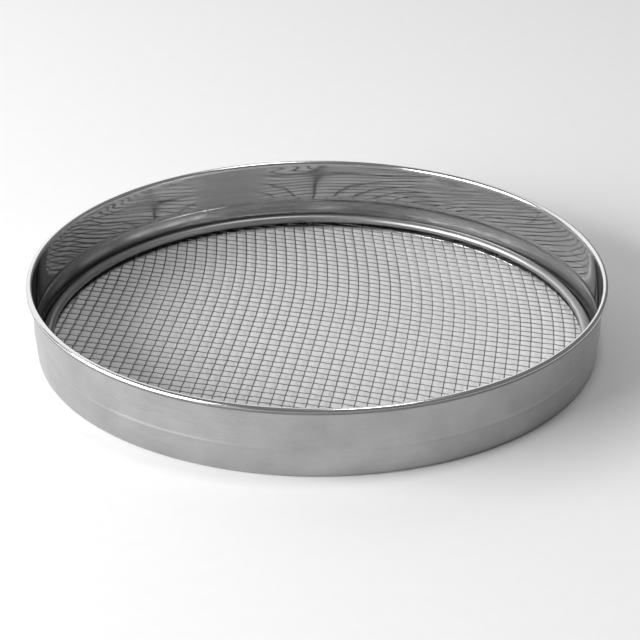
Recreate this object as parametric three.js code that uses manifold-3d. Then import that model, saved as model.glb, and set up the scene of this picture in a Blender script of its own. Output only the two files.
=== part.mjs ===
// A shallow drum strainer in millimetres: Z up, resting face at Z = 0, the drum's axis on Z.
import * as THREE from "three";
import Module from "manifold-3d";

const wasm = await Module();
wasm.setup();
const { Manifold, Mesh } = wasm;

// Hoop
const rimRadius = 150; // outermost edge of the rolled rim
const height = 38.3; // resting face to the top of the rim
const rimBead = 3.3; // thickness of the rolled rim
const taper = 1.5; // lean of the wall above the ridge, degrees from upright
const footTaper = 8; // lean of the wall below it
const easing = 0.9; // how gently one lean turns into the other
const sheet = 0.6; // sheet thickness
const flangeWide = 8; // folded flange at the foot, turned in
const flangeTall = 1.2;
const footBend = 2; // outer radius of the bend into the flange
const insideBend = 0.8; // and the inner radius
const ridgeLevel = 0.39; // height of the ridge, as a share of the drum's
const ridgeTall = 3;
const ridgeOut = 0.2; // how far the ridge stands out
const seamTurn = 115; // where the seam is, degrees round from +X
const seamWide = 3;
const seamThick = 0.3; // how far the lapped end stands in from the wall

// Mesh
const clearance = 0.3; // between pieces that touch
const warpPitch = 5.85; // wires that run away from the viewer
const weftPitch = 5.45; // wires that cross them
const wire = 0.6;
const wireLayer = 0.06; // between the two directions of wires
const edgeCover = 0.05; // edge band above and below its wires
const edgeBand = 2.2; // width of the pressed edge of the cloth
const warpTurn = -5; // degrees from +Y
const weftTurn = -17; // degrees from +X: the cloth sits askew

// Retaining ring
const ringBead = 4; // thickness of the round bar
const ringGap = 3; // between the bar and the wall

const around = 72; // flats round each turned piece
const lean = Math.tan(THREE.MathUtils.degToRad(taper));
const slant = Math.hypot(1, lean);
const footLean = Math.tan(THREE.MathUtils.degToRad(footTaper));
const footSlant = Math.hypot(1, footLean);

// Levels, from the table up
const meshFloor = flangeTall + clearance;
const meshTall = 2 * wire + wireLayer + 2 * edgeCover;
const ringFloor = meshFloor + meshTall + clearance;

// The wall's two faces at a height: it is drawn in below the ridge
const ridgeMiddle = ridgeLevel * height;
const beadMiddle = { r: rimRadius - rimBead / 2, z: height - rimBead / 2 };
const innerAtRidge = beadMiddle.r - (rimBead / 2) * slant - lean * (beadMiddle.z - ridgeMiddle);
const drawnIn = (z) => easing * Math.log(1 + Math.exp((ridgeMiddle - z) / easing));
const innerWall = (z) => innerAtRidge + lean * (z - ridgeMiddle) - (footLean - lean) * drawnIn(z);
const outerWall = (z) => innerWall(z) + sheet * (z > ridgeMiddle ? slant : footSlant);

// Points on an arc in the turning plane, angles in degrees from +R
function arc(middle, radius, from, to, steps) {
  return Array.from({ length: steps + 1 }, (_, i) => {
    const a = THREE.MathUtils.degToRad(from + ((to - from) * i) / steps);
    return [middle.r + radius * Math.cos(a), middle.z + radius * Math.sin(a)];
  });
}

// A closed outline, anticlockwise, turned about Z
function turned(outline) {
  const points = [...outline, outline[0]].map(([r, z]) => new THREE.Vector2(r, z));
  return new THREE.LatheGeometry(points, around).rotateX(Math.PI / 2);
}

function solid(geometry) {
  const plain = geometry.index ? geometry.toNonIndexed() : geometry;
  const source = plain.getAttribute("position").array;
  const found = new Map();
  const corners = [];
  const faces = [];
  for (let i = 0; i < source.length; i += 3) {
    const key = [0, 1, 2].map((k) => Math.round(source[i + k] * 1e4)).join();
    if (!found.has(key)) {
      found.set(key, corners.length / 3);
      corners.push(source[i], source[i + 1], source[i + 2]);
    }
    faces.push(found.get(key));
  }
  const kept = [];
  for (let i = 0; i < faces.length; i += 3) {
    const [a, b, c] = faces.slice(i, i + 3);
    if (a !== b && b !== c && a !== c) kept.push(a, b, c);
  }
  return new Manifold(
    new Mesh({
      numProp: 3,
      vertProperties: new Float32Array(corners),
      triVerts: new Uint32Array(kept),
    }),
  );
}

function geometryOf(body) {
  const mesh = body.getMesh();
  const geometry = new THREE.BufferGeometry();
  const corners = new THREE.BufferAttribute(new Float32Array(mesh.vertProperties), mesh.numProp);
  geometry.setAttribute("position", corners);
  geometry.setIndex(new THREE.BufferAttribute(new Uint32Array(mesh.triVerts), 1));
  return geometry;
}

function piece(name, geometry, colour, roughness) {
  const material = new THREE.MeshStandardMaterial({ color: colour, metalness: 1, roughness });
  material.name = name;
  const flat = geometry.index ? geometry.toNonIndexed() : geometry;
  flat.computeVertexNormals();
  const mesh = new THREE.Mesh(flat, material);
  mesh.name = name;
  return mesh;
}

// Hoop: flange at the foot, wall with its ridge, and the rim bead
const ridge = [-1, -0.5, 0, 0.5, 1].map((s) => [
  (ridgeOut * (1 + Math.cos(Math.PI * s))) / 2,
  ridgeMiddle + (s * ridgeTall) / 2,
]);
const flangeEdge = outerWall(footBend) - flangeWide + flangeTall / 2;
const footOut = outerWall(footBend) - footBend * footSlant;
const footIn = innerWall(flangeTall + insideBend) - insideBend * footSlant;
const beadStart = -115;
const hoopOutline = [
  ...arc({ r: flangeEdge, z: flangeTall / 2 }, flangeTall / 2, 90, 270, 4),
  ...arc({ r: footOut, z: footBend }, footBend, -90, -footTaper, 4),
  ...ridge.map(([out, z]) => [outerWall(z) + out, z]),
  ...arc(beadMiddle, rimBead / 2, beadStart, 180 - taper, 10),
  ...ridge.toReversed().map(([out, z]) => [innerWall(z) + out, z]),
  ...arc({ r: footIn, z: flangeTall + insideBend }, insideBend, -footTaper, -90, 3),
];

// The strip's lapped and welded end on the inner face, from above the ridge to below the bead
const seamFloor = ridgeMiddle + ridgeTall / 2 + 1;
const seamTop = height - rimBead - 1;
const seamOutline = new THREE.Shape();
seamOutline.moveTo(innerWall(seamFloor) - seamThick, seamFloor);
seamOutline.lineTo(innerWall(seamFloor) + sheet / 2, seamFloor);
seamOutline.lineTo(innerWall(seamTop) + sheet / 2, seamTop);
seamOutline.lineTo(innerWall(seamTop) - seamThick, seamTop);
const seam = new THREE.ExtrudeGeometry(seamOutline, { depth: seamWide, bevelEnabled: false })
  .translate(0, 0, -seamWide / 2)
  .rotateX(Math.PI / 2)
  .rotateZ(THREE.MathUtils.degToRad(seamTurn));
const hoop = solid(turned(hoopOutline)).add(solid(seam));

// Retaining ring: a round bar bent to a hoop, pressed down on the mesh inside the wall
const ringLevel = ringFloor + ringBead / 2;
const ringMiddle = {
  r: innerWall(ringLevel) - ringGap - ringBead / 2,
  z: ringLevel,
};
const ringOutline = arc(ringMiddle, ringBead / 2, 0, 360, 16).slice(0, -1);

// Wire mesh: two crossing layers of straight wires, their ends pressed in one edge band
const bandOut = innerWall(meshFloor) - insideBend - 2 * clearance;
const bandIn = bandOut - edgeBand;
const band = turned([
  [bandIn, meshFloor],
  [bandOut, meshFloor],
  [bandOut, meshFloor + meshTall],
  [bandIn, meshFloor + meshTall],
]);

function wires(pitch, level, turn) {
  const reach = (bandOut + bandIn) / 2;
  const count = Math.floor((bandIn - wire) / pitch);
  return Array.from({ length: 2 * count + 1 }, (_, i) => {
    const off = (i - count) * pitch;
    const length = 2 * Math.sqrt(reach * reach - off * off);
    const bar = new THREE.CylinderGeometry(wire / 2, wire / 2, length, 6)
      .translate(off, 0, level)
      .rotateZ(THREE.MathUtils.degToRad(turn));
    return solid(bar);
  });
}

const weftLevel = meshFloor + edgeCover + wire / 2;
const wireMesh = Manifold.union([
  solid(band),
  ...wires(weftPitch, weftLevel, weftTurn + 90),
  ...wires(warpPitch, weftLevel + wire + wireLayer, warpTurn),
]);

const group = new THREE.Group();
group.name = "mesh_strainer";
group.add(piece("hoop", geometryOf(hoop), 0xb4b4b4, 0.25));
group.add(piece("retaining_ring", turned(ringOutline), 0xc8c8c8, 0.15));
group.add(piece("wire_mesh", geometryOf(wireMesh), 0x6c6c6c, 0.4));

export default group;
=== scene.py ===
import bpy
import math
import random
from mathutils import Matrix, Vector


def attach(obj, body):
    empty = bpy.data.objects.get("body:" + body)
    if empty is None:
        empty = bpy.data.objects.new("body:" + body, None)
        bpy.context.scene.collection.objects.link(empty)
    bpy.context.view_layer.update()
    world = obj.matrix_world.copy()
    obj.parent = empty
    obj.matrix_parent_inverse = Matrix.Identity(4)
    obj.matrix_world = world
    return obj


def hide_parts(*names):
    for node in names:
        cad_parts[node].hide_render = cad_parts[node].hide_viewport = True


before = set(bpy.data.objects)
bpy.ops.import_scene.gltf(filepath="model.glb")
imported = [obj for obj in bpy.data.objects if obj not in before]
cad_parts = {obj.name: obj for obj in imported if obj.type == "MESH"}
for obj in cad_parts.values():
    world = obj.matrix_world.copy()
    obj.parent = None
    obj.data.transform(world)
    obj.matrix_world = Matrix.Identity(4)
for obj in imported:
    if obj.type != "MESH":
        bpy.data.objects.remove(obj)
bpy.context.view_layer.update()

mm = 0.001


def linear(code):
    # sRGB hex to the linear colour that the shader works in
    parts = [int(code[i:i + 2], 16) / 255 for i in (1, 3, 5)]
    return [c / 12.92 if c <= 0.04045 else ((c + 0.055) / 1.055) ** 2.4 for c in parts] + [1]


def addNode(tree, kind, settings=None, links=None):
    # settings go to the node's own fields or its input sockets, links to its input sockets
    node = tree.nodes.new(kind)
    for name, value in (settings or {}).items():
        if isinstance(name, str) and hasattr(node, name):
            setattr(node, name, value)
        else:
            node.inputs[name].default_value = value
    for name, output in (links or {}).items():
        tree.links.new(output, node.inputs[name])
    return node


def newMaterial(name, settings):
    material = bpy.data.materials.new(name)
    material.use_nodes = True
    shader = material.node_tree.nodes["Principled BSDF"]
    for socket, value in settings.items():
        shader.inputs[socket].default_value = value
    return material, material.node_tree, shader


def addMesh(name, points, faces, materials, pick=None):
    mesh = bpy.data.meshes.new(name)
    mesh.from_pydata(points, [], faces)
    for material in materials:
        mesh.materials.append(material)
    if pick:
        mesh.polygons.foreach_set("material_index", pick)
    mesh.polygons.foreach_set("use_smooth", [True] * len(faces))
    mesh.update()
    piece = bpy.data.objects.new(name, mesh)
    bpy.context.scene.collection.objects.link(piece)
    return piece


def arc(middle, radius, start, end, steps):
    # points in the turning plane, angles in degrees from outwards
    turns = [math.radians(start + (end - start) * i / steps) for i in range(steps + 1)]
    return [(middle[0] + radius * math.cos(t), middle[1] + radius * math.sin(t)) for t in turns]


def smooth(t):
    t = min(max(t, 0), 1)
    return t * t * (3 - 2 * t)


def unrolled(tree, radius, seamTurn):
    # millimetres round the drum and up it, as if the strip were cut at the seam and laid flat
    place = addNode(tree, "ShaderNodeTexCoord")
    turned = addNode(tree, "ShaderNodeVectorRotate", {
        "rotation_type": "Z_AXIS", "Angle": math.radians(180 - seamTurn)}, {"Vector": place.outputs["Object"]})
    axes = addNode(tree, "ShaderNodeSeparateXYZ", None, {"Vector": turned.outputs["Vector"]})
    turn = addNode(tree, "ShaderNodeMath", {"operation": "ARCTAN2"}, {0: axes.outputs["Y"], 1: axes.outputs["X"]})
    along = addNode(tree, "ShaderNodeMath", {"operation": "MULTIPLY", 1: radius}, {0: turn.outputs[0]})
    up = addNode(tree, "ShaderNodeMath", {"operation": "MULTIPLY", 1: 1 / mm}, {0: axes.outputs["Z"]})
    flat = addNode(tree, "ShaderNodeCombineXYZ", None, {"X": along.outputs[0], "Y": up.outputs[0]})
    return flat.outputs["Vector"], along.outputs[0], up.outputs[0]


steel = {"seamTurn": 115, "drumRadius": 146, "ringRadius": 139.8}  # degrees from +X, then mm

# Stainless sheet, cold rolled bright, inside of the drum: a mirror with faint smudges and rolling lines,
# dull beside the seam as if ground, wrinkled and duller on the band drawn in at the foot, with painted highlights
# on patches of that band
insideSteel, tree, shader = newMaterial("bright_rolled_stainless", {"Metallic": 1})
strip, along, up = unrolled(tree, steel["drumRadius"], steel["seamTurn"])
smudge = addNode(tree, "ShaderNodeTexNoise", {"Scale": 1 / 22, "Detail": 3}, {"Vector": strip})  # 22 mm apart
rolling = addNode(tree, "ShaderNodeMapping", {"Scale": (1 / 120, 1 / 1.6, 1)}, {"Vector": strip})
# rolling lines are really hundredths of a millimetre apart: 1.6 mm shows
lines = addNode(tree, "ShaderNodeTexNoise", {"Scale": 1, "Detail": 2}, {"Vector": rolling.outputs["Vector"]})
seamEnd = math.pi * steel["drumRadius"]
after = addNode(tree, "ShaderNodeMapRange", {
    "interpolation_type": "SMOOTHSTEP", "From Min": seamEnd - 40, "From Max": seamEnd - 14}, {"Value": along})
before = addNode(tree, "ShaderNodeMapRange", {
    "interpolation_type": "SMOOTHSTEP", "From Min": 12 - seamEnd, "From Max": -seamEnd}, {"Value": along})
beside = addNode(tree, "ShaderNodeMath", {"operation": "MAXIMUM"}, {0: after.outputs[0], 1: before.outputs[0]})
ground = addNode(tree, "ShaderNodeMapRange", {
    "interpolation_type": "SMOOTHSTEP", "From Min": 12, "From Max": 18}, {
        "Value": up, "To Max": beside.outputs[0]})
worn = addNode(tree, "ShaderNodeMath", {"operation": "MULTIPLY_ADD", 1: -0.25}, {
    0: ground.outputs[0], 2: lines.outputs[0]})
tone = addNode(tree, "ShaderNodeMix", {"data_type": "RGBA", 6: linear("#a4a4a4"), 7: linear("#c2c2c2")}, {
    0: worn.outputs[0]})
gloss = addNode(tree, "ShaderNodeMapRange", {"From Min": 0.35, "From Max": 0.7, "To Min": 0.03, "To Max": 0.07}, {
    "Value": smudge.outputs[0]})
# wrinkles of the band: its mirror image breaks up
pressed = addNode(tree, "ShaderNodeMapRange", {
    "interpolation_type": "SMOOTHSTEP", "From Min": 15.5, "From Max": 11.5}, {"Value": up})
stretch = addNode(tree, "ShaderNodeMapping", {"Scale": (1 / 12, 1 / 4, 1)}, {"Vector": strip})
wrinkles = addNode(tree, "ShaderNodeTexNoise", {"Scale": 1, "Detail": 2}, {"Vector": stretch.outputs["Vector"]})
bump = addNode(tree, "ShaderNodeBump", {"Distance": 0.24 * mm}, {
    "Strength": pressed.outputs[0], "Height": wrinkles.outputs[0]})
tree.links.new(bump.outputs["Normal"], shader.inputs["Normal"])
dulled = addNode(tree, "ShaderNodeMath", {"operation": "MULTIPLY_ADD", 1: 0.2}, {
    0: pressed.outputs[0], 2: gloss.outputs[0]})
rough = addNode(tree, "ShaderNodeMath", {"operation": "MULTIPLY_ADD", 1: 0.15}, {
    0: ground.outputs[0], 2: dulled.outputs[0]})
# painted highlight: the per-point share mixes the tone towards near white on patches of the band
highlightShare = addNode(tree, "ShaderNodeAttribute", {"attribute_name": "painted_highlight"})
bright = addNode(tree, "ShaderNodeMix", {"data_type": "RGBA", 7: linear("#fcfcfc")}, {
    0: highlightShare.outputs["Fac"], 6: tone.outputs[2]})
tree.links.new(bright.outputs[2], shader.inputs["Base Color"])
tree.links.new(rough.outputs[0], shader.inputs["Roughness"])

# Stainless sheet, satin finished, outside: soft sheen, fine lines round the drum, cloudy handling marks
outsideSteel, tree, shader = newMaterial("satin_rolled_stainless", {"Metallic": 1})
strip, along, up = unrolled(tree, steel["drumRadius"], steel["seamTurn"])
clouds = addNode(tree, "ShaderNodeTexNoise", {"Scale": 1 / 26, "Detail": 5, "Roughness": 0.55}, {"Vector": strip})
brushing = addNode(tree, "ShaderNodeMapping", {"Scale": (1 / 60, 1 / 0.9, 1)}, {"Vector": strip})
# satin lines are about 0.05 mm apart: 0.9 mm shows
lines = addNode(tree, "ShaderNodeTexNoise", {"Scale": 1, "Detail": 3}, {"Vector": brushing.outputs["Vector"]})
tone = addNode(tree, "ShaderNodeMix", {"data_type": "RGBA", 6: linear("#929292"), 7: linear("#bebebe")}, {
    0: clouds.outputs[0]})
rough = addNode(tree, "ShaderNodeMapRange", {"From Min": 0.3, "From Max": 0.7, "To Min": 0.26, "To Max": 0.36}, {
    "Value": lines.outputs[0]})
bump = addNode(tree, "ShaderNodeBump", {"Strength": 0.25, "Distance": 0.02 * mm}, {"Height": lines.outputs[0]})
tree.links.new(tone.outputs[2], shader.inputs["Base Color"])
tree.links.new(rough.outputs[0], shader.inputs["Roughness"])
tree.links.new(bump.outputs["Normal"], shader.inputs["Normal"])

# Stainless rim, rolled and buffed: bright along its crown, with buffing lines and worn duller patches
rimSteel, tree, shader = newMaterial("buffed_rolled_rim", {"Metallic": 1})
strip, along, up = unrolled(tree, steel["drumRadius"], steel["seamTurn"])
buffing = addNode(tree, "ShaderNodeMapping", {"Scale": (1 / 25, 1 / 0.5, 1)}, {"Vector": strip})
lines = addNode(tree, "ShaderNodeTexNoise", {"Scale": 1, "Detail": 2}, {"Vector": buffing.outputs["Vector"]})
tone = addNode(tree, "ShaderNodeMix", {"data_type": "RGBA", 6: linear("#d0d0d0"), 7: linear("#e4e4e4")}, {
    0: lines.outputs[0]})
rough = addNode(tree, "ShaderNodeMapRange", {"From Min": 0.3, "From Max": 0.7, "To Min": 0.12, "To Max": 0.22}, {
    "Value": lines.outputs[0]})
tree.links.new(tone.outputs[2], shader.inputs["Base Color"])
tree.links.new(rough.outputs[0], shader.inputs["Roughness"])

# The underside of the roll, out of a buffing wheel's reach: duller than the rim, and darker with painted shade
# under the roll
shadedRollSteel, tree, shader = newMaterial("shaded_roll_underside", {"Metallic": 1})
place = addNode(tree, "ShaderNodeTexCoord")
shadeMottle = addNode(tree, "ShaderNodeTexNoise", {"Scale": 1 / (8 * mm), "Detail": 3}, {
    "Vector": place.outputs["Object"]})
tone = addNode(tree, "ShaderNodeMix", {"data_type": "RGBA", 6: linear("#747474"), 7: linear("#909090")}, {
    0: shadeMottle.outputs[0]})
rough = addNode(tree, "ShaderNodeMapRange", {"To Min": 0.36, "To Max": 0.5}, {"Value": shadeMottle.outputs[0]})
tree.links.new(tone.outputs[2], shader.inputs["Base Color"])
tree.links.new(rough.outputs[0], shader.inputs["Roughness"])

# Stainless bar, drawn and rubbed down: one broad soft line of light, and slight scuffs
ringSteel, tree, shader = newMaterial("rubbed_stainless_bar", {"Metallic": 1})
strip, along, up = unrolled(tree, steel["ringRadius"], steel["seamTurn"])
drawing = addNode(tree, "ShaderNodeMapping", {"Scale": (1 / 18, 1 / 0.7, 1)}, {"Vector": strip})
scuffs = addNode(tree, "ShaderNodeTexNoise", {"Scale": 1, "Detail": 3}, {"Vector": drawing.outputs["Vector"]})
tone = addNode(tree, "ShaderNodeMix", {"data_type": "RGBA", 6: linear("#9c9c9c"), 7: linear("#b4b4b4")}, {
    0: scuffs.outputs[0]})
rough = addNode(tree, "ShaderNodeMapRange", {"From Min": 0.3, "From Max": 0.75, "To Min": 0.38, "To Max": 0.48}, {
    "Value": scuffs.outputs[0]})
tree.links.new(tone.outputs[2], shader.inputs["Base Color"])
tree.links.new(rough.outputs[0], shader.inputs["Roughness"])

# Stainless wire, drawn and woven: grey with a fine glint along each crown, duller here and there
wireSteel, tree, shader = newMaterial("drawn_stainless_wire", {"Metallic": 1})
place = addNode(tree, "ShaderNodeTexCoord")
dull = addNode(tree, "ShaderNodeTexNoise", {"Scale": 1 / (7 * mm), "Detail": 2}, {
    "Vector": place.outputs["Object"]})
tone = addNode(tree, "ShaderNodeMix", {"data_type": "RGBA", 6: linear("#747474"), 7: linear("#909090")}, {
    0: dull.outputs[0]})
rough = addNode(tree, "ShaderNodeMapRange", {"From Min": 0.3, "From Max": 0.7, "To Min": 0.32, "To Max": 0.46}, {
    "Value": dull.outputs[0]})
tree.links.new(tone.outputs[2], shader.inputs["Base Color"])
tree.links.new(rough.outputs[0], shader.inputs["Roughness"])

# The same wire at its loose ends, coloured nearly black: hardly any shine
nearBlackWireSteel, tree, shader = newMaterial("near_black_wire_ends", {"Metallic": 0.6, "Roughness": 0.7})
place = addNode(tree, "ShaderNodeTexCoord")
mottle = addNode(tree, "ShaderNodeTexNoise", {"Scale": 1 / (1.5 * mm), "Detail": 3}, {
    "Vector": place.outputs["Object"]})
tone = addNode(tree, "ShaderNodeMix", {"data_type": "RGBA", 6: linear("#181818"), 7: linear("#4a4a4a")}, {
    0: mottle.outputs[0]})
tree.links.new(tone.outputs[2], shader.inputs["Base Color"])
print("materials", len(bpy.data.materials))

# Lengths in mm, leans in degrees from upright: footTaper inside and skirtTaper outside below the ridge
hoop = {
    "rimRadius": 149.9, "height": 38.2, "rimBead": 3.3, "sheet": 0.6, "taper": 1.5,
    "bandLevel": 13.6, "footTaper": 8.5, "skirtTaper": 4, "bendSoft": 1.2,
    "ridgeLevel": 14.94, "ridgeTall": 2.6, "ridgeIn": 0.2, "ridgeOut": 0.22,
    "flangeWide": 7.4, "flangeTall": 1.2, "footBend": 2, "insideBend": 0.8,
    "seamWide": 3, "seamStep": 0.08, "seamMargin": 2.2, "around": 420, "wallStep": 0.6,
}
lean = math.tan(math.radians(hoop["taper"]))
footLean = math.tan(math.radians(hoop["footTaper"]))
skirtLean = math.tan(math.radians(hoop["skirtTaper"]))
beadRadius = hoop["rimBead"] / 2
beadMiddle = (hoop["rimRadius"] - beadRadius, hoop["height"] - beadRadius)
wallRadius = beadMiddle[0] - beadRadius * math.hypot(1, lean) - lean * (beadMiddle[1] - hoop["bandLevel"])


def drawnIn(z, level, more):
    # how far a face leans in below a level
    return more * hoop["bendSoft"] * math.log(1 + math.exp((level - z) / hoop["bendSoft"]))


def innerWall(z):
    return wallRadius + lean * (z - hoop["bandLevel"]) - drawnIn(z, hoop["bandLevel"], footLean - lean)


def outerWall(z):
    flat = wallRadius + hoop["sheet"] + lean * (z - hoop["bandLevel"])
    return flat - drawnIn(z, hoop["ridgeLevel"], skirtLean - lean)


def ridgeBulge(z, most):
    share = (z - hoop["ridgeLevel"]) / (hoop["ridgeTall"] / 2)
    return most * (1 + math.cos(math.pi * share)) / 2 if abs(share) < 1 else 0


# thin sheet is never quite true: slow hollows a few hundredths of a millimetre deep
hollows = [  # depth in mm, waves round the drum, waves up the wall, shift in degrees
    (0.03, 9, 0.7, 20), (0.012, 17, 1.3, 140)]


def hollowAt(turn, z):
    share = (z - hoop["footBend"]) / (beadMiddle[1] - hoop["footBend"])
    fade = smooth(share / 0.15) * smooth((1 - share) / 0.1)
    wave = sum(deep * math.sin(count * turn + math.radians(shift)
                               + up * 2 * math.pi * share) for deep, count, up, shift in hollows)
    return fade * wave


seamMiddle = math.radians(steel["seamTurn"])


def seamAt(turn):
    # the lapped end stands in a little from the wall
    off = (turn - seamMiddle) * wallRadius / (hoop["seamWide"] / 2)
    return -hoop["seamStep"] * smooth((1.25 - abs(off)) / 0.5)


bend, insideBend = hoop["footBend"], hoop["insideBend"]
footOut = outerWall(bend)
bendMiddle = (footOut - bend, bend)
lipRadius = hoop["flangeTall"] / 2
lipMiddle = (footOut - hoop["flangeWide"] + lipRadius, lipRadius)
wallSteps = [bend + insideBend + i * hoop["wallStep"] for i in range(80)]
outSteps = [z for z in wallSteps if z < beadMiddle[1] - beadRadius - 0.5]
inSteps = [z for z in wallSteps if z < beadMiddle[1] - 0.4]
hoopOutline = (
    [(p, "lip") for p in arc(lipMiddle, lipRadius, 90, 270, 8)]
    + [(p, "foot") for p in arc(bendMiddle, bend, -90, -hoop["skirtTaper"], 8)]
    + [((outerWall(z) + ridgeBulge(z, hoop["ridgeOut"]), z), "out") for z in outSteps]
    + [(p, "roll") for p in arc(beadMiddle, beadRadius, -115, 4, 11)]
    + [(p, "rim") for p in arc(beadMiddle, beadRadius, 10, 180, 17)]
    + [((innerWall(z) + ridgeBulge(z, hoop["ridgeIn"]), z), "in") for z in reversed(inSteps)]
    + [(p, "foot") for p in arc((innerWall(bend) - insideBend, bend), insideBend, -hoop["footTaper"], -90, 8)])
hoopSkins = [insideSteel, outsideSteel, rimSteel, shadedRollSteel]
skins = {"foot": 1, "in": 0, "out": 1, "roll": 3, "rim": 2, "lip": 2}  # places in hoopSkins


def turnsRound(count):
    return [2 * math.pi * i / count for i in range(count)]


seamReach = hoop["seamMargin"] / wallRadius
turns = [t for t in turnsRound(hoop["around"]) if abs(t - seamMiddle) > seamReach]  # finer at the seam
turns += [seamMiddle + seamReach * (i / 10 - 1) for i in range(21)]
turns.sort()


def hoopShape(turn, z, part):
    if part in ("foot", "roll", "rim"):
        return 0
    return hollowAt(turn, z) + (seamAt(turn) if part == "in" else 0)


def turnOutline(outline, turns, shape=None):
    points, faces, pick = [], [], []
    count = len(outline)
    for turn in turns:
        for (r, z), part in outline:
            r += shape(turn, z, part) if shape else 0
            points.append((r * mm * math.cos(turn), r * mm * math.sin(turn), z * mm))
    for i in range(len(turns)):
        j = (i + 1) % len(turns)
        for k in range(count):
            n = (k + 1) % count
            faces.append((i * count + k, j * count + k, j * count + n, i * count + n))
            pick.append(skins.get(outline[k][1], 0))
    return points, faces, pick


# painted highlights: patches of the pressed band painted brighter than the rest, standing in for reflected light
highlightPatches = [  # degrees round, level, half length in degrees, half height in mm, strength
    (134, 11, 7, 2.6, 1), (125, 11.2, 8, 2.4, 0.75), (118, 11.2, 3, 2.2, 0.5),
    (88, 9.6, 7, 2.2, 0.9), (148, 9.8, 9, 3, 0.9), (163, 9.4, 9, 3, 0.9)]


def paintedHighlightAt(turn, z):
    return min(1, sum(strong * smooth(1 - math.hypot((math.degrees(turn) - middle) / long, (z - level) / tall))
                      for middle, level, long, tall, strong in highlightPatches))


points, faces, pick = turnOutline(hoopOutline, turns, hoopShape)
hoopPiece = addMesh("hoop_sheet", points, faces, hoopSkins, pick)
highlightLayer = hoopPiece.data.attributes.new("painted_highlight", "FLOAT", "POINT")
highlightLayer.data.foreach_set("value", [paintedHighlightAt(turn, z) for turn in turns for (r, z), part in hoopOutline])
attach(hoopPiece, "root")
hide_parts("hoop")
print("hoop", len(hoopPiece.data.polygons))

ring = {"bar": 4.6, "middle": (139.9, 5.5), "around": 420}  # mm, and flats round it
ringOutline = [(p, "bar") for p in arc(ring["middle"], ring["bar"] / 2, 0, 360, 28)[:-1]]
points, faces, pick = turnOutline(ringOutline, turnsRound(ring["around"]))
ringPiece = addMesh("retaining_bar", points, faces, [ringSteel])
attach(ringPiece, "root")
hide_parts("retaining_ring")
print("retaining ring", len(ringPiece.data.polygons))

# The cloth sits askew: warp wires lean nearly 8 degrees over most of it and bend back near the far side,
# weft wires slope 16 to 20 degrees down to the right and are beaten wider in a band near the middle.
cloth = {
    "warpWire": 0.62, "weftWire": 0.44, "level": 2.18, "reach": 142.2, "warpCrimp": 0.36, "weftCrimp": 0.1,
    "warpGap": 5.68, "warpLean": 2.7, "warpBend": 5.0, "bendAt": 57, "bendSpread": 36, "warpDrift": 0.008,
    "weftSlope": 15.8, "weftDip": 4.5, "dipAt": 40, "dipSpread": 42,
    "weftGap": 5.36, "weftWide": 0.74, "wideAt": -22, "wideSpread": 38,
    "half": 30, "stray": 0.16, "steps": 4, "sides": 6,
}
half = cloth["half"]  # wires on each side of the middle one


def warpShift(v):
    # sideways travel of a warp wire, from the integral of its lean
    turned = cloth["bendSpread"] * math.log(math.cosh((v - cloth["bendAt"]) / cloth["bendSpread"]))
    return (math.radians(cloth["warpLean"]) * v - math.radians(cloth["warpBend"]) * turned
            - math.radians(cloth["warpDrift"]) * v * v / 2)


def weftShift(x):
    # how far a weft wire falls off to the right
    dip = math.erf((x - cloth["dipAt"]) / cloth["dipSpread"]) * cloth["dipSpread"] * math.sqrt(math.pi) / 2
    return -math.tan(math.radians(cloth["weftSlope"])) * x - math.tan(math.radians(cloth["weftDip"])) * dip


def weftPlace(row):
    # distance of a weft row from the cloth's middle
    return row * cloth["weftGap"] + cloth["weftWide"] * cloth["wideSpread"] / cloth["weftGap"] * math.tanh(
        (row * cloth["weftGap"] - cloth["wideAt"]) / cloth["wideSpread"])


hand = random.Random(4)
strayColumn = [hand.gauss(0, cloth["stray"]) for _ in range(2 * half + 1)]
strayRow = [hand.gauss(0, cloth["stray"]) for _ in range(2 * half + 1)]


def onCloth(column, row, strayX=0, strayY=0):
    # place of a crossing, or of a point between two
    v = weftPlace(row)
    x = column * cloth["warpGap"] + warpShift(v) - warpShift(0)
    return x + strayX, v + weftShift(x) - weftShift(0) + strayY


def tube(path, radius, sides, points, faces):
    start = len(points)
    for i, p in enumerate(path):
        along = (path[min(i + 1, len(path) - 1)] - path[max(i - 1, 0)]).normalized()
        side = along.cross(Vector((0, 0, 1))).normalized()
        up = side.cross(along)
        for s in range(sides):
            t = 2 * math.pi * s / sides
            points.append(p + radius * (math.cos(t) * side + math.sin(t) * up))
    for i in range(len(path) - 1):
        for s in range(sides):
            a, b = start + i * sides + s, start + i * sides + (s + 1) % sides
            faces.append((a, b, b + sides, a + sides))
    last = start + (len(path) - 1) * sides
    faces.append(tuple(start + s for s in reversed(range(sides))))
    faces.append(tuple(last + s for s in range(sides)))


def wires(alongRows):
    points, faces = [], []
    crimp = cloth["warpCrimp" if alongRows else "weftCrimp"]
    for wire in range(-half, half + 1):
        path = []
        for i in range(-half * cloth["steps"], half * cloth["steps"] + 1):
            t = i / cloth["steps"]
            if alongRows:
                x, y = onCloth(wire, t, strayX=strayColumn[wire + half])
            else:
                x, y = onCloth(t, wire, strayY=strayRow[wire + half])
            if math.hypot(x, y) > cloth["reach"]:
                continue
            crown = math.cos(math.pi * (t + wire)) * (1 if alongRows else -1)  # over, then under
            path.append(Vector((x, y, cloth["level"] + crown * crimp)) * mm)
        if len(path) > 8:
            tube(path, cloth["warpWire" if alongRows else "weftWire"] / 2 * mm, cloth["sides"], points, faces)
    return points, faces


edge = {"middle": (143.0, 3.5), "radius": 1.3, "around": 240}  # cut ends of the cloth, pressed in the groove
edgeOutline = [(p, "edge") for p in arc(edge["middle"], edge["radius"], 0, 360, 10)[:-1]]

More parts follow.
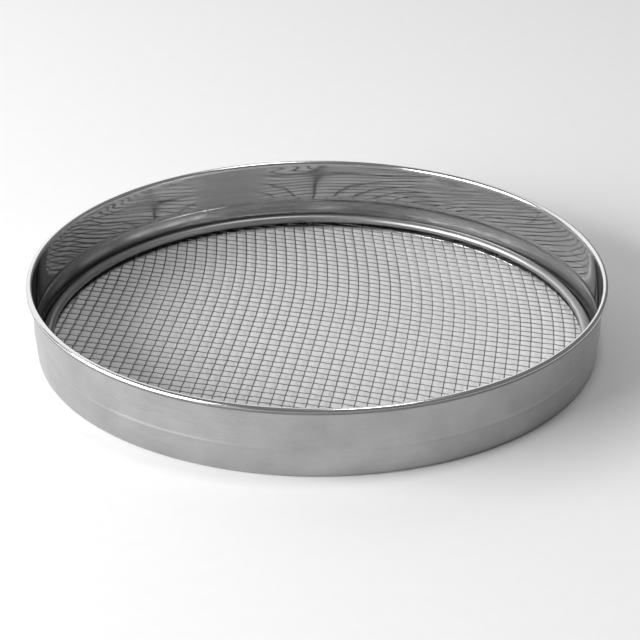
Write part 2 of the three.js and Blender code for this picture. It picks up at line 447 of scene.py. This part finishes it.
# Loose ends bunched beside the ring: distance out, level and degrees round where each starts, drift per step
fray = {"radius": 0.38, "wave": 0.3, "turnStep": 0.4, "steps": 9, "ends": [
    (134.9, 2.9, 92.6, 0.16), (135.6, 3.2, 91.2, -0.08), (136.4, 2.9, 93.4, -0.1), (135.3, 3.5, 94.2, 0.05)]}
frayPoints, frayFaces = [], []
for reach, level, start, drift in fray["ends"]:
    path = []
    for i in range(fray["steps"]):
        t = math.radians(start + fray["turnStep"] * i)
        out = reach + drift * i
        path.append(Vector((out * math.cos(t), out * math.sin(t), level + fray["wave"] * math.sin(i))) * mm)
    tube(path, fray["radius"] * mm, cloth["sides"], frayPoints, frayFaces)
clothParts = [
    ("near_black_ends", frayPoints, frayFaces),
    ("warp_wires", *wires(True)), ("weft_wires", *wires(False)),
    ("pressed_edge", *turnOutline(edgeOutline, turnsRound(edge["around"]))[:2])]
for name, points, faces in clothParts:
    piece = addMesh(name, points, faces, [nearBlackWireSteel if name == "near_black_ends" else wireSteel])
    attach(piece, "root")
    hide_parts("wire_mesh")
    print(name, len(piece.data.polygons))

# Matt paper: white, with a faint cloudiness of its fibres
paper, tree, shader = newMaterial("matt_white_paper", {"Roughness": 0.9, "Specular IOR Level": 0.1})
place = addNode(tree, "ShaderNodeTexCoord")
fibres = addNode(tree, "ShaderNodeTexNoise", {"Scale": 1 / (9 * mm), "Detail": 4}, {
    "Vector": place.outputs["Object"]})  # fibres are finer: 9 mm shows
tone = addNode(tree, "ShaderNodeMix", {"data_type": "RGBA", 6: linear("#f0f0f0"), 7: linear("#f4f4f4")}, {
    0: fibres.outputs[0]})
tree.links.new(tone.outputs[2], shader.inputs["Base Color"])
# lamps in metres and watts: place, size, power
studio = {"floor": 6, "sky": 0.2, "lamps": {
    "key": ((-1.72, -0.62, 0.58), (2.0, 1.25), 81),
    "top": ((0.36, 0, 1.9), (0.45, 0.45), 7),
    "backdrop": ((-1.0, 2.15, 1.1), (3.2, 2.2), 22)}}
side = studio["floor"]
corners = [(-side, -side, 0), (side, -side, 0), (side, side, 0), (-side, side, 0)]
floor = addMesh("floor", corners, [(0, 1, 2, 3)], [paper])

world = bpy.data.worlds.new("studio")
bpy.context.scene.world = world
world.use_nodes = True
sky = world.node_tree.nodes["Background"]
sky.inputs["Color"].default_value = (1, 1, 1, 1)
sky.inputs["Strength"].default_value = studio["sky"]

for name, (place, size, power) in studio["lamps"].items():
    lamp = bpy.data.lights.new(name, "AREA")
    lamp.shape = "RECTANGLE"
    lamp.size, lamp.size_y = size
    lamp.energy = power
    holder = bpy.data.objects.new(name, lamp)
    bpy.context.scene.collection.objects.link(holder)
    holder.location = place
    holder.rotation_euler = (-Vector(place)).to_track_quat("-Z", "Y").to_euler()
print("lamps", len(studio["lamps"]))

# fitted to the rim, the ring and the lower edge in the photograph: mm and degrees
camera = {"lens": 123.75, "distance": 1138.35, "elevation": 25.32, "aimRight": 1.345, "aimDown": 24.32}
lens = bpy.data.cameras.new("camera")
lens.sensor_width, lens.lens = 36, camera["lens"]
lens.clip_start, lens.clip_end = 0.01, 50
eye = bpy.data.objects.new("camera", lens)
bpy.context.scene.collection.objects.link(eye)
rise = math.radians(camera["elevation"])
rimMiddle = Vector((0, 0, beadMiddle[1]))
upward = Vector((0, math.sin(rise), math.cos(rise)))
eye.location = (rimMiddle + camera["distance"] * Vector((0, -math.cos(rise), math.sin(rise)))) * mm
aim = (rimMiddle + Vector((camera["aimRight"], 0, 0)) - camera["aimDown"] * upward) * mm
eye.rotation_euler = (aim - eye.location).to_track_quat("-Z", "Y").to_euler()
bpy.context.scene.camera = eye
bpy.context.scene.view_settings.view_transform = "Standard"
